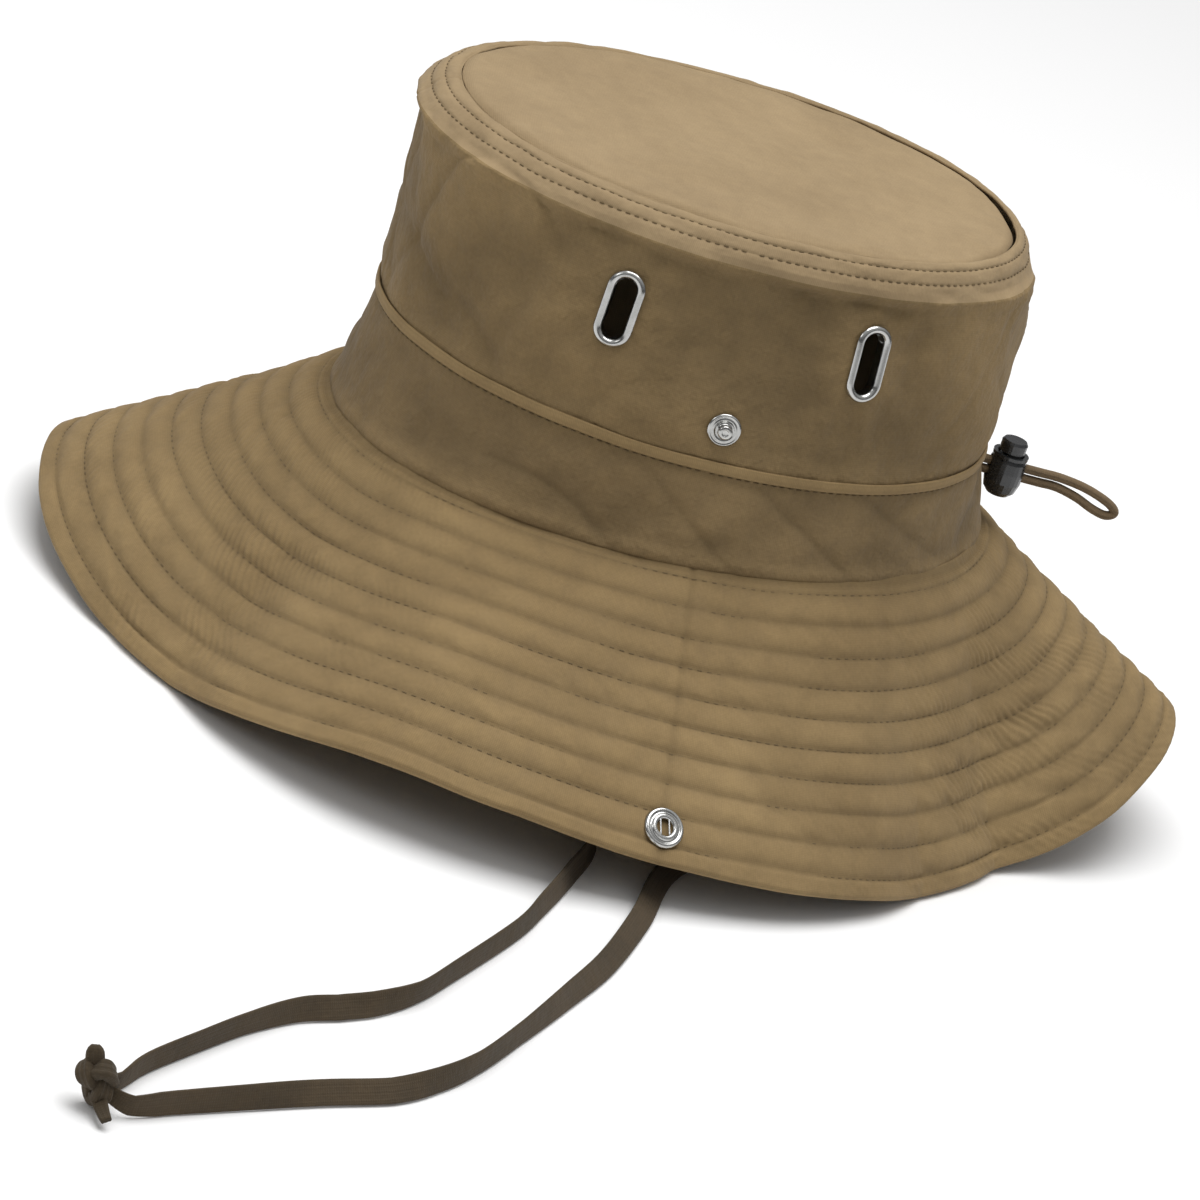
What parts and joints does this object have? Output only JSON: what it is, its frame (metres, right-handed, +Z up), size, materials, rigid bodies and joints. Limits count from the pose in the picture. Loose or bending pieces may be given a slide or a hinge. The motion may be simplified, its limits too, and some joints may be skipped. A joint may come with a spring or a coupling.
{
  "type": "wide brim hat",
  "caption": "Soft boonie hat with oval flat-topped crown, side vents, quilted wide brim that snaps up at the sides, rear cord lock and chin strap.",
  "frame": {"origin": "centre of the brim outline, at the surface the hat stands on", "axes": "+X to the wearer's left, +Y to the back of the hat, +Z up through the crown"},
  "size_m": [0.5041, 0.3578, 0.1772],
  "materials": {
    "nickel": "polished nickel plate",
    "black_plastic": "glossy",
    "spring_steel": "drawn wire",
    "strap_tape": "flat woven tape",
    "elastic_cord": "braided elastic",
    "brim_stiffener": "stiff non-woven",
    "sweatband_cloth": "soft twill",
    "khaki_cloth": "matt quick-dry cloth"
  },
  "bodies": {
    "hat": {"crown_side_left": "khaki_cloth", "crown_side_right": "khaki_cloth", "crown_band": "khaki_cloth", "crown_band_piping": "khaki_cloth", "crown_tip": "khaki_cloth", "sweatband": "sweatband_cloth", "brim_under_front": "khaki_cloth", "brim_under_back": "khaki_cloth", "brim_upper_front": "khaki_cloth", "brim_upper_back": "khaki_cloth", "brim_interlining": "brim_stiffener", "vent_eyelet_left_front": "nickel", "vent_eyelet_left_back": "nickel", "vent_eyelet_right_front": "nickel", "vent_eyelet_right_back": "nickel", "vent_washer_left_front": "nickel", "vent_washer_left_back": "nickel", "vent_washer_right_front": "nickel", "vent_washer_right_back": "nickel", "snap_stud_left": "nickel", "snap_stud_right": "nickel", "snap_stud_post_left": "nickel", "snap_stud_post_right": "nickel", "drawcord": "elastic_cord", "chin_strap_left": "strap_tape", "chin_strap_right": "strap_tape", "chin_strap_knot": "strap_tape", "chin_strap_tab_left": "strap_tape", "chin_strap_tab_right": "strap_tape"},
    "left_flap": {"brim_under_front_left_flap": "khaki_cloth", "brim_under_back_left_flap": "khaki_cloth", "brim_upper_front_left_flap": "khaki_cloth", "brim_upper_back_left_flap": "khaki_cloth", "brim_interlining_left_flap": "brim_stiffener", "snap_socket_left": "nickel", "snap_cap_left": "nickel"},
    "right_flap": {"brim_under_front_right_flap": "khaki_cloth", "brim_under_back_right_flap": "khaki_cloth", "brim_upper_front_right_flap": "khaki_cloth", "brim_upper_back_right_flap": "khaki_cloth", "brim_interlining_right_flap": "brim_stiffener", "snap_socket_right": "nickel", "snap_cap_right": "nickel"},
    "cord_lock": {"cord_lock_barrel": "black_plastic", "cord_lock_spring": "spring_steel"},
    "lock_button": {"cord_lock_plunger": "black_plastic"}
  },
  "joints": [
    {"name": "left_brim_fold", "type": "hinge", "parent": "hat", "child": "left_flap", "pos_m": [0.09752, -0.00303, 0.065], "axis": [0.153, -0.9882, 0], "range_deg": [0, 147.5]},
    {"name": "right_brim_fold", "type": "hinge", "parent": "hat", "child": "right_flap", "pos_m": [-0.10248, -0.00303, 0.0661], "axis": [0.153, 0.9882, 0], "range_deg": [0, 151]},
    {"name": "cord_lock_slide", "type": "slide", "parent": "hat", "child": "cord_lock", "axis": [0, 1, 0], "range_m": [0, 0.01]},
    {"name": "lock_button_press", "type": "slide", "parent": "cord_lock", "child": "lock_button", "axis": [0, 0, -1], "range_m": [0, 0.0016], "stiffness_N_per_m": 600, "springref_m": -0.001, "deforming": ["cord_lock_spring"]}
  ]
}
